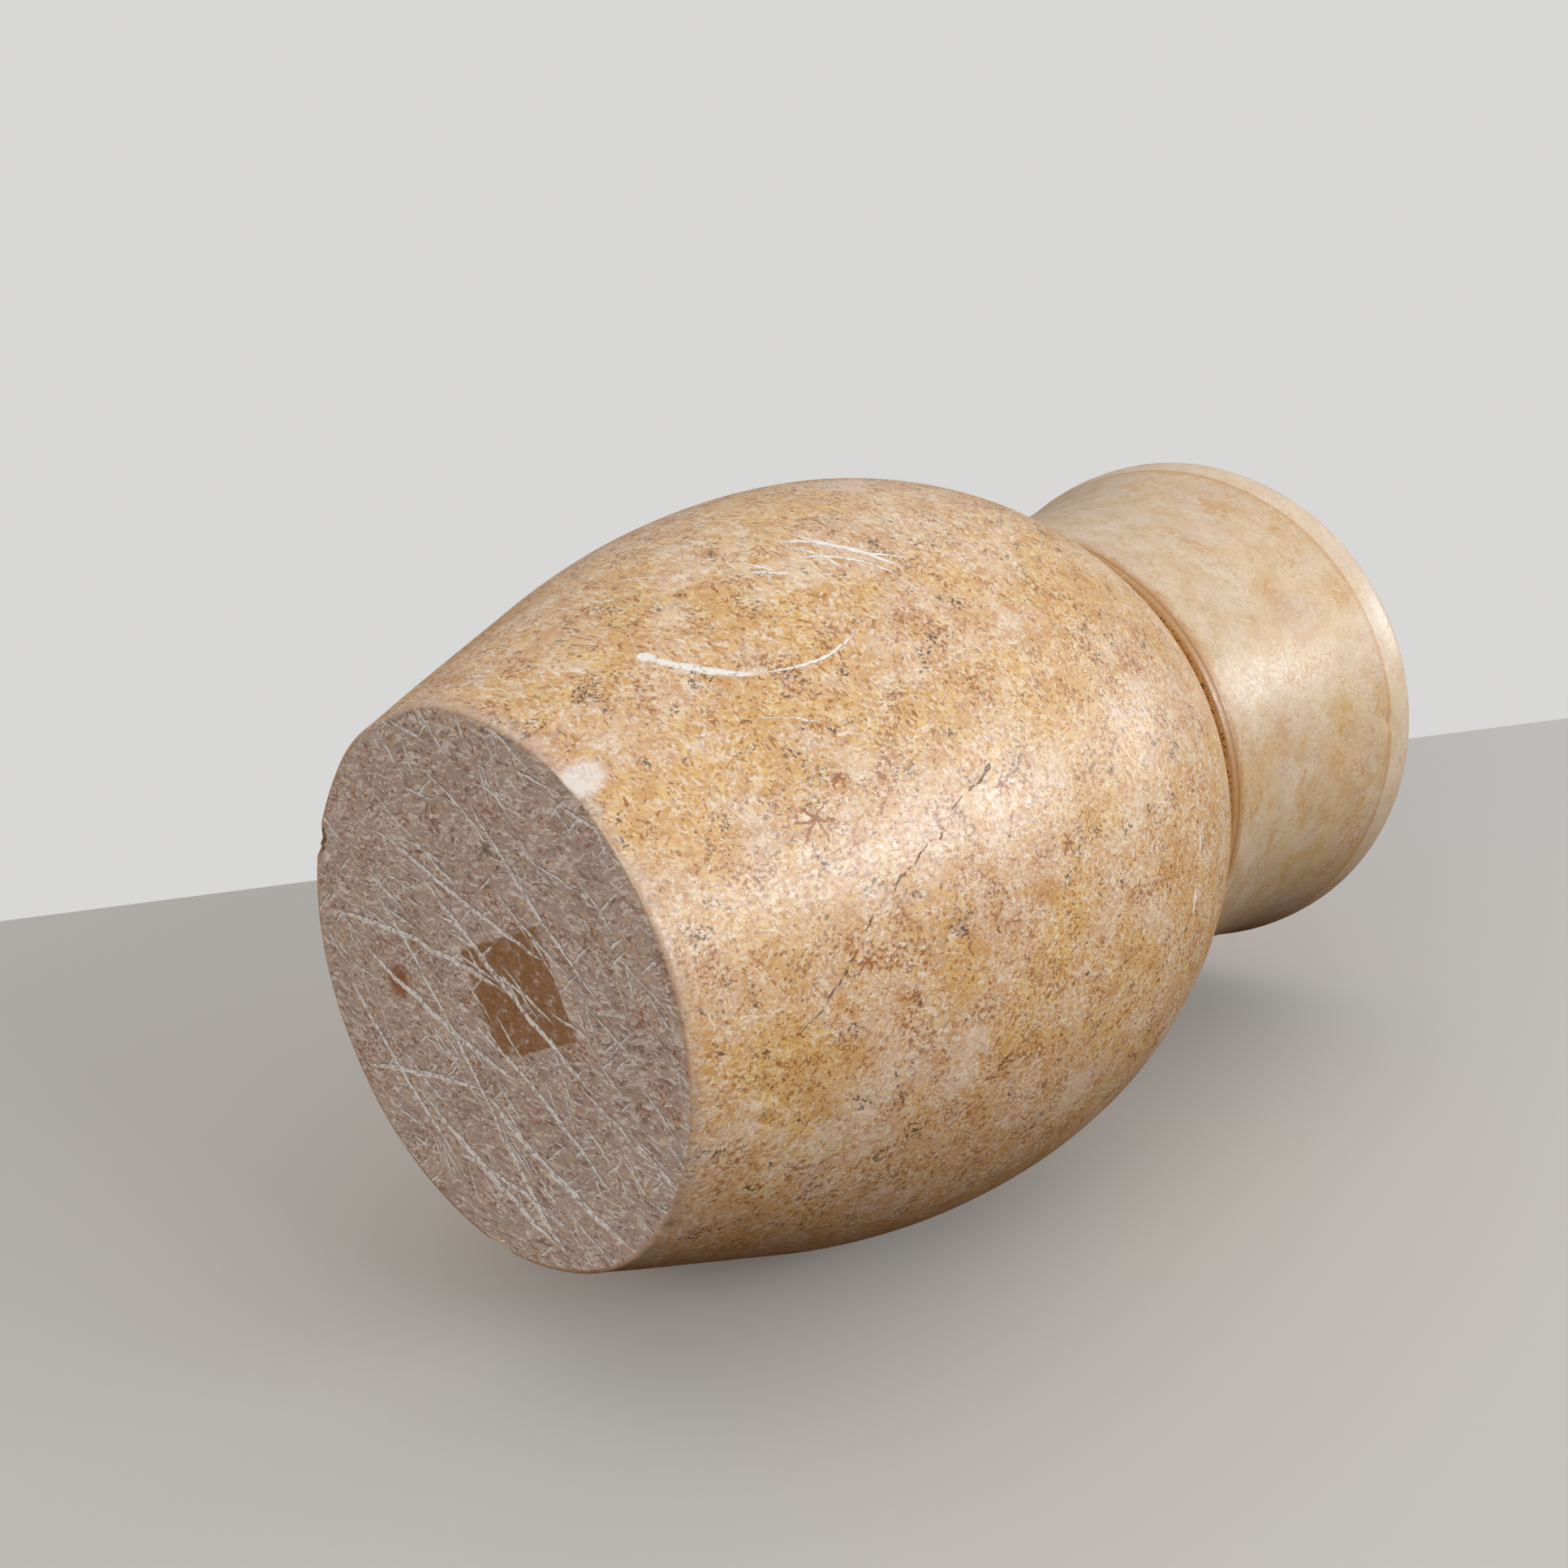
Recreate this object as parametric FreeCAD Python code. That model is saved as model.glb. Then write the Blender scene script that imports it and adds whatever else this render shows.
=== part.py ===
"""A turned stone mortar with its stone pestle standing in it.

Millimetres, +Z up. The origin is the centre of the mortar's flat base, and the
mortar's turning axis is Z. The mortar is an egg-shaped belly on a narrower base,
with a cut groove and a small bead at the neck and a flared collar above them.
The pestle leans on the inside of the lip, with its head on the floor of the bore.
"""
import FreeCAD, Part

import math
import os

# Outside of the mortar
BASE_RADIUS = 42.0
BELLY_RADIUS = 62.8
BELLY_HEIGHT = 77.0
FLANK_ARC_RADIUS = 124.0
NECK_RADIUS = 46.7
NECK_HEIGHT = 129.2
GROOVE_DEPTH = 2.3
GROOVE_WIDTH = 1.9
BEAD_RADIUS = 47.3
BEAD_WIDTH = 2.0
BEAD_SEAM = 0.5
COLLAR_RADIUS = 47.0
COLLAR_HEIGHT = 141.0
COLLAR_ARC_RADIUS = 185.0
LIP_EDGE_HEIGHT = 187.4
LIP_RADIUS = 53.9
LIP_HEIGHT = 193.6
LIP_SLOPE = (1.0, 3.0)
HEIGHT = 196.0
BASE_EDGE_ROUND = 0.8

# Inside of the mortar
BOWL_RADIUS = 30.0
FLOOR_THICKNESS = 42.0
THROAT_RADIUS = 36.0
THROAT_HEIGHT = 132.0
MOUTH_RADIUS = 45.5
MOUTH_ROUND = 3.0

# Pestle
HEAD_RADIUS = 18.0
HEAD_HEIGHT = 34.0
WAIST_RADIUS = 9.2
WAIST_HEIGHT = 112.0
KNOB_RADIUS = 13.0
KNOB_HEIGHT = 180.0
KNOB_ROUND = 9.0
KNOB_DOME_DEGREES = 50.0
LEAN_DEGREES = 14.5
LEAN_TOWARDS_DEGREES = 154.3
HEAD_OFFSET_DEGREES = 10.0
CLEARANCE = 0.35


def point(radius, height):
    """A point of an outline, which lies in the XZ plane."""
    return FreeCAD.Vector(radius, 0.0, height)


def line(start, end):
    return Part.LineSegment(point(*start), point(*end)).toShape()


def arc(start, middle, end):
    return Part.Arc(point(*start), point(*middle), point(*end)).toShape()


def on_circle(centre, radius, degrees):
    """The point of a circle at an angle counted from the outward direction."""
    turn = math.radians(degrees)
    return (centre[0] + radius * math.cos(turn), centre[1] + radius * math.sin(turn))


def arc_about(centre, radius, from_degrees, to_degrees):
    """An arc round a centre, between two angles counted from the outward direction."""
    angles = (from_degrees, (from_degrees + to_degrees) / 2, to_degrees)
    return arc(*[on_circle(centre, radius, degrees) for degrees in angles])


def arc_leaving(start, direction, end):
    """An arc from start to end whose first tangent is direction."""
    across = (end[0] - start[0], end[1] - start[1])
    turn = math.atan2(across[1], across[0]) - math.atan2(direction[1], direction[0])
    turn = (turn + math.pi) % (2 * math.pi) - math.pi
    rise = math.tan(turn / 2) / 2
    middle = (
        (start[0] + end[0]) / 2 + across[1] * rise,
        (start[1] + end[1]) / 2 - across[0] * rise,
    )
    return arc(start, middle, end)


def turned(edges):
    """The solid that a closed outline sweeps in one turn about Z."""
    face = Part.Face(Part.Wire(edges))
    solid = face.revolve(FreeCAD.Vector(0, 0, 0), FreeCAD.Vector(0, 0, 1), 360)
    if solid.ShapeType != "Solid":
        solid = Part.makeSolid(Part.makeShell(solid.Faces))
    return solid


def tangent_angle(centre, radius, outside, side):
    """Angle on a circle, in degrees, where a tangent from an outside point touches it.

    side is 1 for the tangent met going round from the point, and -1 for the one before it.
    """
    reach = math.dist(centre, outside)
    towards = math.atan2(outside[1] - centre[1], outside[0] - centre[0])
    return math.degrees(towards + side * math.acos(radius / reach))


def mortar_outside():
    """Edges from the centre of the base, round the belly, neck and collar, to the lip."""
    flank_centre = (BELLY_RADIUS - FLANK_ARC_RADIUS, BELLY_HEIGHT)
    foot = (BASE_RADIUS, BASE_EDGE_ROUND)
    flank_angle = tangent_angle(flank_centre, FLANK_ARC_RADIUS, foot, side=1)
    flank_top = on_circle(flank_centre, FLANK_ARC_RADIUS, flank_angle)
    belly = (BELLY_RADIUS, BELLY_HEIGHT)
    neck = (NECK_RADIUS, NECK_HEIGHT)
    groove_radius = NECK_RADIUS - GROOVE_DEPTH
    groove_top = NECK_HEIGHT + GROOVE_WIDTH
    bead_top = groove_top + BEAD_WIDTH
    bead_foot = BEAD_RADIUS - BEAD_SEAM
    bead_crest = (BEAD_RADIUS, groove_top + BEAD_WIDTH / 2)

    def collar_radius(height):
        drop = COLLAR_ARC_RADIUS**2 - (height - COLLAR_HEIGHT) ** 2
        return COLLAR_RADIUS + COLLAR_ARC_RADIUS - math.sqrt(drop)

    collar_foot = (collar_radius(bead_top), bead_top)
    lip_edge = (collar_radius(LIP_EDGE_HEIGHT), LIP_EDGE_HEIGHT)
    lip = (LIP_RADIUS, LIP_HEIGHT)
    lip_round = HEIGHT - LIP_HEIGHT
    lip_top = (LIP_RADIUS - lip_round, HEIGHT)
    return [
        line((0, 0), (BASE_RADIUS - BASE_EDGE_ROUND, 0)),
        arc_leaving((BASE_RADIUS - BASE_EDGE_ROUND, 0), (1, 0), foot),
        line(foot, flank_top),
        arc_about(flank_centre, FLANK_ARC_RADIUS, flank_angle, 0),
        arc_leaving(belly, (0, 1), neck),
        line(neck, (groove_radius, NECK_HEIGHT)),
        line((groove_radius, NECK_HEIGHT), (groove_radius, groove_top)),
        line((groove_radius, groove_top), (bead_foot, groove_top)),
        arc((bead_foot, groove_top), bead_crest, (bead_foot, bead_top)),
        line((bead_foot, bead_top), collar_foot),
        arc(collar_foot, (COLLAR_RADIUS, COLLAR_HEIGHT), lip_edge),
        arc_leaving(lip_edge, LIP_SLOPE, lip),
        arc_about((LIP_RADIUS - lip_round, LIP_HEIGHT), lip_round, 0, 90),
        line(lip_top, (MOUTH_RADIUS + MOUTH_ROUND, HEIGHT)),
    ]


def mortar_inside():
    """Edges from the lip down the tapered bore to the centre of its round floor."""
    mouth = (MOUTH_RADIUS, HEIGHT - MOUTH_ROUND)
    throat = (THROAT_RADIUS, THROAT_HEIGHT)
    bowl_centre = (0.0, FLOOR_THICKNESS + BOWL_RADIUS)
    bowl_angle = tangent_angle(bowl_centre, BOWL_RADIUS, throat, side=-1)
    wall_foot = on_circle(bowl_centre, BOWL_RADIUS, bowl_angle)
    wall_direction = (throat[0] - wall_foot[0], throat[1] - wall_foot[1])
    flare = arc_leaving(throat, wall_direction, mouth)
    return [
        arc_about((MOUTH_RADIUS + MOUTH_ROUND, HEIGHT - MOUTH_ROUND), MOUTH_ROUND, 90, 180),
        flare,
        line(throat, wall_foot),
        arc_about(bowl_centre, BOWL_RADIUS, bowl_angle, -90),
        line((0, FLOOR_THICKNESS), (0, 0)),
    ]


def mortar():
    return turned(mortar_outside() + mortar_inside())


def pestle_upright():
    """The pestle on the Z axis, with the centre of its round head at the origin."""
    head_end = -HEAD_RADIUS
    shoulder = (HEAD_RADIUS, head_end + HEAD_HEIGHT)
    waist = (WAIST_RADIUS, head_end + WAIST_HEIGHT)
    knob = (KNOB_RADIUS, head_end + KNOB_HEIGHT)
    shoulder_half = ((HEAD_RADIUS + WAIST_RADIUS) / 2, (shoulder[1] + waist[1]) / 2)
    knob_half = ((KNOB_RADIUS + WAIST_RADIUS) / 2, (knob[1] + waist[1]) / 2)
    dome_slope = math.radians(KNOB_DOME_DEGREES)
    round_centre = (KNOB_RADIUS - KNOB_ROUND, knob[1])
    dome_centre = (0, knob[1] - round_centre[0] * math.tan(dome_slope))
    dome_radius = KNOB_ROUND + round_centre[0] / math.cos(dome_slope)
    top = (0, dome_centre[1] + dome_radius)
    return turned([
        arc_about((0, 0), HEAD_RADIUS, -90, 0),
        line((HEAD_RADIUS, 0), shoulder),
        arc_leaving(shoulder, (0, 1), shoulder_half),
        arc_leaving(waist, (0, -1), shoulder_half),
        arc_leaving(waist, (0, 1), knob_half),
        arc_leaving(knob, (0, -1), knob_half),
        arc_about(round_centre, KNOB_ROUND, 0, KNOB_DOME_DEGREES),
        arc_about(dome_centre, dome_radius, KNOB_DOME_DEGREES, 90),
        line(top, (0, head_end)),
    ])


def pestle():
    """The pestle leaning in the mortar, with its head just off the floor of the bore."""
    heading = math.radians(LEAN_TOWARDS_DEGREES)
    offset = math.radians(HEAD_OFFSET_DEGREES)
    reach = BOWL_RADIUS - HEAD_RADIUS - CLEARANCE
    outward = -reach * math.sin(offset)
    head_centre = FreeCAD.Vector(
        outward * math.cos(heading),
        outward * math.sin(heading),
        FLOOR_THICKNESS + BOWL_RADIUS - reach * math.cos(offset),
    )
    lean_axis = FreeCAD.Vector(-math.sin(heading), math.cos(heading), 0)
    solid = pestle_upright()
    solid.rotate(FreeCAD.Vector(0, 0, 0), lean_axis, LEAN_DEGREES)
    solid.translate(head_centre)
    return solid


os.makedirs("parts", exist_ok=True)
for name, solid in (("mortar", mortar()), ("pestle", pestle())):
    box = solid.optimalBoundingBox(True, False)
    print(name, solid.ShapeType, "valid", solid.isValid(), "volume in mm3", round(solid.Volume))
    print("  from", round(box.XMin, 2), round(box.YMin, 2), round(box.ZMin, 2))
    print("  to", round(box.XMax, 2), round(box.YMax, 2), round(box.ZMax, 2))
    solid.exportStep(f"parts/{name}.step")
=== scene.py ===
"""The looks of a turned stone mortar with its loose stone pestle.

Metres, in the frame of the CAD: +Z from the mortar's base to its mouth, origin at the centre of
the base. The main camera sees the mortar lying on its side, so for it the floor is the plane that
touches the belly at +Y, and up is -Y. Seen upright, the mortar stands on the plane z = 0.
"""

import math

import bpy
import numpy as np
from mathutils import Matrix, Vector, noise


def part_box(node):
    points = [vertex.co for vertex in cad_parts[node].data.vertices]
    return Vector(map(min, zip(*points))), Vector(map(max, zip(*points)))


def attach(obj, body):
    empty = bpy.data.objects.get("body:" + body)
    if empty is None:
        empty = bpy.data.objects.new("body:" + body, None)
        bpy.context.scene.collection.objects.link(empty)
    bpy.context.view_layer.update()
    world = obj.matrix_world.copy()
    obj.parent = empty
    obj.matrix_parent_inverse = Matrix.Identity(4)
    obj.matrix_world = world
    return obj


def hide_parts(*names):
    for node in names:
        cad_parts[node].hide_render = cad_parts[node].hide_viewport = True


MM = 0.001

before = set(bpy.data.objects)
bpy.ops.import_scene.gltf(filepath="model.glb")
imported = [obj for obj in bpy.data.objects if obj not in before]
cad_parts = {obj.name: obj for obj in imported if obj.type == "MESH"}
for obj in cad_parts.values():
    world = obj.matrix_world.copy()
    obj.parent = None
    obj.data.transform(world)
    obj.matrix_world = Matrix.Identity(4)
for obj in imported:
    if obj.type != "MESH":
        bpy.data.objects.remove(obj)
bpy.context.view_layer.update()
mortar_low, mortar_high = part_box("mortar")

# Outside of the mortar, in millimetres
HEIGHT = mortar_high.z / MM
BELLY_RADIUS = mortar_high.x / MM
BASE_RADIUS = 42.0
BASE_EDGE_ROUND = 0.8
BELLY_HEIGHT = 77.0
FLANK_ARC_RADIUS = 124.0
NECK_RADIUS = 46.7
NECK_HEIGHT = 129.2
GROOVE_DEPTH = 2.3
GROOVE_WIDTH = 1.9
BEAD_RADIUS = 47.3
BEAD_WIDTH = 2.0
BEAD_SEAM = 0.5
COLLAR_RADIUS = 47.0
COLLAR_HEIGHT = 141.0
COLLAR_ARC_RADIUS = 185.0
LIP_EDGE_HEIGHT = 187.4
LIP_RADIUS = 53.9
LIP_HEIGHT = 193.6
LIP_SLOPE = (1.0, 3.0)

# Inside of the mortar
BOWL_RADIUS = 30.0
FLOOR_THICKNESS = 42.0
THROAT_RADIUS = 36.0
THROAT_HEIGHT = 132.0
MOUTH_RADIUS = 45.5
MOUTH_ROUND = 3.0

# Pestle
HEAD_RADIUS = 18.0
HEAD_HEIGHT = 34.0
WAIST_RADIUS = 9.2
WAIST_HEIGHT = 112.0
KNOB_RADIUS = 13.0
KNOB_HEIGHT = 180.0
KNOB_ROUND = 9.0
KNOB_DOME_DEGREES = 50.0
LEAN_DEGREES = 14.5
LEAN_TOWARDS_DEGREES = 154.3
HEAD_OFFSET_DEGREES = 10.0
CLEARANCE = 0.35

# How uneven the hand-turned outside is, in millimetres
SURFACE_WOBBLE = 0.10
BASE_WOBBLE_HEIGHT = 9.0
GROOVE_ROUGHNESS = 0.5

MORTAR_SIDES = 280
PESTLE_SIDES = 120

# Camera and floor of the main view
CAMERA_PLACE = (173.2, -83.2, -118.0)
CAMERA_FORWARD = (-0.6637, 0.2639, 0.7000)
CAMERA_DOWN = (0.1212, 0.9612, -0.2476)
CAMERA_LENS = 35.96
CAMERA_SENSOR = 36.0
FLOOR_BACK_PLACE = (-152.0, 253.0)
FLOOR_BACK_HEADING = 52.7
LYING_REACH = 2500.0
STAND_REACH = 650.0
LAMP_TARGET = (0.0, 0.0, 0.09)

# Light of the room: (height from 0 straight down to 1 straight up for the main camera, colour)
ROOM_COLOURS = [
    (0.08, (0.012, 0.006, 0.003)),
    (0.50, (0.15, 0.075, 0.030)),
    (0.74, (0.58, 0.58, 0.58)),
]
WALL_COLOUR = (0.69, 0.685, 0.68, 1.0)
FLOOR_COLOUR = (0.62, 0.60, 0.57, 1.0)
DAYLIGHT = (0.90, 0.96, 1.0)
WARM_WHITE = (1.0, 0.95, 0.88)

# Lamps: name, direction from the mortar, distance in metres, size in metres, power, colour
LAMPS = [
    ("near_window", (1.10, -0.42, 0.21), 1.25, (0.85, 0.32), 9.0, DAYLIGHT),
    ("far_window", (0.68, -0.265, 1.045), 1.25, (0.34, 0.26), 2.1, DAYLIGHT),
    ("base_fill", (0.10, -0.35, -0.93), 1.2, (0.6, 0.6), 3.7, WARM_WHITE),
    ("far_fill", (-0.66, 0.30, 0.66), 1.2, (0.6, 0.6), 9.0, WARM_WHITE),
]


# ---------------------------------------------------------------- marks and colours

# Strokes on the belly and collar: start and end as (degrees round Z, height), half width, bend
WHITE_SCRATCHES = [
    ((-67.7, 20.0), (-53.4, 29.0), 0.72, -1.3),
    ((-54.6, 28.0), (-52.4, 44.1), 0.26, -2.2),
    ((-69.0, 19.4), (-66.0, 20.8), 1.05, 0.0),
    ((-74.0, 48.5), (-61.0, 58.0), 0.32, 0.9),
    ((-73.0, 50.5), (-58.0, 59.3), 0.38, 0.4),
    ((-73.5, 52.0), (-64.0, 56.5), 0.30, -0.4),
    ((-69.0, 47.0), (-56.5, 57.5), 0.28, 1.4),
    ((-66.0, 54.5), (-59.5, 62.0), 0.28, -0.5),
    ((-71.0, 49.5), (-62.5, 51.5), 0.30, 0.3),
    ((-70.3, 40.5), (-65.6, 44.5), 0.36, 0.3),
    ((-72.5, 42.0), (-67.5, 43.6), 0.28, 0.0),
    ((-7.2, 91.9), (-3.2, 91.2), 0.34, 0.3),
    ((0.4, 89.2), (4.8, 88.4), 0.36, -0.3),
    ((-48.0, 24.0), (-42.0, 31.0), 0.16, 0.4),
    ((-88.0, 30.0), (-78.0, 34.0), 0.18, 0.4),
    ((150.0, 60.0), (166.0, 72.0), 0.30, 1.5),
    ((100.0, 34.0), (112.0, 30.0), 0.25, -0.6),
    ((-130.0, 90.0), (-118.0, 84.0), 0.25, 0.8),
    ((60.0, 96.0), (72.0, 104.0), 0.25, -1.0),
]
DARK_CRACKS = [
    ((-30.1, 51.9), (-21.0, 36.3), 0.15, 0.5),
    ((-21.4, 36.8), (-11.6, 22.9), 0.13, -0.7),
    ((-11.8, 23.6), (-0.2, 13.8), 0.16, 0.8),
    ((28.0, 70.0), (40.0, 50.0), 0.14, 1.5),
    ((-160.0, 96.0), (-142.0, 70.0), 0.14, -2.0),
]
RUST_STARS = [
    ((-29.8, 23.3), 3.4), ((-34.0, 28.5), 1.3), ((-24.0, 50.0), 1.4), ((-14.0, 58.0), 1.6),
    ((-8.0, 24.0), 1.4), ((120.0, 60.0), 1.6), ((-150.0, 40.0), 1.4),
]

# Strokes on the base: start and end as (x, y), half width, bend
BASE_SCRATCHES = [
    ((-12.0, -17.0), (23.0, 9.5), 0.64, 1.0),
    ((-34.0, 19.5), (-3.0, 15.5), 0.56, -0.8),
    ((-4.0, 15.0), (27.0, 31.0), 0.79, 1.6),
    ((0.0, 20.0), (12.0, 37.5), 0.75, 1.2),
    ((-17.0, 22.0), (10.5, 36.5), 0.79, 0.6),
    ((-24.0, -12.0), (2.0, 26.0), 0.49, -1.5),
    ((-30.0, -2.0), (6.0, 12.0), 0.64, 1.2),
    ((-12.0, 28.0), (14.0, 33.0), 0.56, -1.0),
    ((-20.0, -22.0), (16.0, -8.0), 0.49, 1.0),
    ((-36.0, 4.0), (-12.0, 30.0), 0.64, 0.8),
    ((2.0, -30.0), (26.0, -4.0), 0.45, 0.8),
    ((-38.0, -6.0), (4.0, -2.0), 0.56, -1.6),
    ((-5.0, 4.0), (24.0, 24.0), 0.56, -1.4),
]

# Scratches strewn over the base: degrees, length, width, share of cells with one, seed
BASE_RANDOM_SCRATCHES = [
    (-33, 20.0, 1.00, 0.07, 5.0),
    (-48, 12.0, 0.85, 0.09, 23.0),
    (-15, 13.0, 0.85, 0.07, 47.0),
    (-75, 9.0, 0.80, 0.06, 61.0),
    (40, 7.0, 0.75, 0.06, 83.0),
]

# The stain of the label and the rusty spot on the base
LABEL_MARK = {"centre": (8.0, -2.0), "degrees": -21.5, "size": (19.3, 16.3)}
BASE_SPOT = (-21.4, 2.5)

# The white bruise on the flank, as (degrees round Z, height), and the radius the flank is unrolled at
BASE_BRUISE = (-54.0, 2.0)
UNROLLED_RADIUS = 50.0

# Chips: (degrees round Z, radius, height), width and depth
CHIPS = [
    ((-155.0, 41.8, 0.2), 3.2, 1.1),
    ((-55.5, 42.0, 0.5), 2.6, 0.6),
    ((-50.0, 42.0, 0.5), 1.8, 0.5),
    ((7.9, 45.0, 9.5), 1.6, 0.5),
    ((13.1, 44.8, 9.1), 1.5, 0.35),
    ((-3.2, 53.2, 186.6), 1.8, 0.9),
    ((-1.4, 53.4, 188.0), 1.2, 0.6),
    ((96.0, 41.9, 0.3), 2.6, 0.7),
    ((38.0, 41.9, 0.2), 1.8, 0.5),
    ((141.0, 53.9, 194.6), 2.2, 0.7),
]

# Colours of the stone
PALE = (0.92, 0.80, 0.66)
CREAM = (0.87, 0.66, 0.43)
YELLOW = (0.84, 0.55, 0.20)
BEIGE = (0.76, 0.47, 0.24)
PINK = (0.76, 0.48, 0.33)
OCHRE = (0.60, 0.28, 0.075)
RUST = (0.34, 0.115, 0.03)
MAUVE = (0.46, 0.30, 0.24)
DARK = (0.07, 0.05, 0.04)
WHITE = (0.95, 0.90, 0.84)
STRONG_YELLOW = (0.84, 0.52, 0.13)
GREY_PINK = (0.72, 0.50, 0.40)
PATCH_BROWN = (0.64, 0.34, 0.12)
PATCH_PALE = (0.90, 0.73, 0.57)
STAR_RUST = (0.36, 0.12, 0.03)
# Painted shade: brown for the +Y side, the underside for the main camera, standing in for a brown
# table's bounce light
PAINTED_SHADE_BROWN = (0.44, 0.22, 0.08)
EDGE_MAUVE = (0.52, 0.40, 0.34)
COLLAR_PALE = (0.68, 0.56, 0.43)
COLLAR_TAN = (0.56, 0.38, 0.20)
COLLAR_FOOT = (0.52, 0.25, 0.08)
BASE_MAUVE = (0.56, 0.44, 0.39)
BASE_TAN = (0.72, 0.57, 0.48)
BASE_THREAD = (0.92, 0.84, 0.78)
BASE_SCRATCH = (0.98, 0.94, 0.90)
LABEL_BROWN = (0.32, 0.14, 0.035)
BORE_POWDER = ((0.52, 0.40, 0.30), (0.72, 0.62, 0.51))
HEAD_POWDER = ((0.50, 0.39, 0.30), (0.74, 0.64, 0.53))

BELLY_FLAKES = [
    (0.00, RUST), (0.07, OCHRE), (0.20, BEIGE), (0.34, YELLOW), (0.46, OCHRE), (0.56, PINK),
    (0.68, CREAM), (0.77, MAUVE), (0.83, YELLOW), (0.92, CREAM), (1.00, PALE),
]
GROOVE_DIRT = [
    (0.30, (0.24, 0.09, 0.03)), (0.40, (0.58, 0.27, 0.08)), (0.52, (0.80, 0.46, 0.16)),
    (0.68, (0.88, 0.62, 0.32)),
]
BASE_FLAKES = [
    (0.00, (0.16, 0.07, 0.035)), (0.12, (0.34, 0.21, 0.16)), (0.30, (0.60, 0.46, 0.40)),
    (0.50, (0.46, 0.35, 0.32)), (0.62, (0.68, 0.45, 0.26)), (0.72, (0.36, 0.30, 0.30)),
    (0.82, (0.76, 0.64, 0.56)), (1.00, (0.92, 0.85, 0.78)),
]


# ---------------------------------------------------------------- outlines

# In line_points and the two arcs, count is how many points, and so rings, the stretch gets.

def on_circle(centre, radius, degrees):
    turn = math.radians(degrees)
    return (centre[0] + radius * math.cos(turn), centre[1] + radius * math.sin(turn))


def line_points(start, end, count):
    """Points from start up to but not including end."""
    return [
        (start[0] + (end[0] - start[0]) * i / count, start[1] + (end[1] - start[1]) * i / count)
        for i in range(count)
    ]


def arc_about(centre, radius, from_degrees, to_degrees, count):
    step = (to_degrees - from_degrees) / count
    return [on_circle(centre, radius, from_degrees + step * i) for i in range(count)]


def arc_leaving(start, direction, end, count):
    """Points of the arc from start to end whose first tangent is direction."""
    across = (end[0] - start[0], end[1] - start[1])
    turn = math.atan2(across[1], across[0]) - math.atan2(direction[1], direction[0])
    turn = (turn + math.pi) % (2 * math.pi) - math.pi
    radius = math.hypot(*across) / 2 / math.sin(turn)
    heading = math.atan2(direction[1], direction[0])
    centre = (start[0] - radius * math.sin(heading), start[1] + radius * math.cos(heading))
    points = []
    for i in range(count):
        at = heading + 2 * turn * i / count
        points.append((centre[0] + radius * math.sin(at), centre[1] - radius * math.cos(at)))
    return points


def tangent_angle(centre, radius, outside, side):
    """Angle on a circle, in degrees, where a tangent from an outside point touches it."""
    reach = math.dist(centre, outside)
    towards = math.atan2(outside[1] - centre[1], outside[0] - centre[0])
    return math.degrees(towards + side * math.acos(radius / reach))


def collar_radius(height):
    drop = COLLAR_ARC_RADIUS**2 - (height - COLLAR_HEIGHT) ** 2
    return COLLAR_RADIUS + COLLAR_ARC_RADIUS - math.sqrt(drop)


def base_outline():
    return line_points((0.0, 0.0), (BASE_RADIUS - BASE_EDGE_ROUND, 0.0), 44)


def belly_outline():
    """From the rounded edge of the base to the groove's lower edge."""
    flank_centre = (BELLY_RADIUS - FLANK_ARC_RADIUS, BELLY_HEIGHT)
    foot = (BASE_RADIUS, BASE_EDGE_ROUND)
    flank_angle = tangent_angle(flank_centre, FLANK_ARC_RADIUS, foot, 1)
    flank_top = on_circle(flank_centre, FLANK_ARC_RADIUS, flank_angle)
    belly = (BELLY_RADIUS, BELLY_HEIGHT)
    neck = (NECK_RADIUS, NECK_HEIGHT)
    return (
        arc_leaving((BASE_RADIUS - BASE_EDGE_ROUND, 0.0), (1, 0), foot, 3)
        + line_points(foot, flank_top, 36)
        + arc_about(flank_centre, FLANK_ARC_RADIUS, flank_angle, 0, 46)
        + arc_leaving(belly, (0, 1), neck, 58)
    )


def groove_outline():
    """Down one wall of the groove, along its floor and up to the bead."""
    floor_radius = NECK_RADIUS - GROOVE_DEPTH
    top = NECK_HEIGHT + GROOVE_WIDTH
    return (
        line_points((NECK_RADIUS, NECK_HEIGHT), (floor_radius, NECK_HEIGHT), 3)
        + line_points((floor_radius, NECK_HEIGHT), (floor_radius, top), 3)
        + line_points((floor_radius, top), (BEAD_RADIUS - BEAD_SEAM, top), 3)
    )


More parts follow.
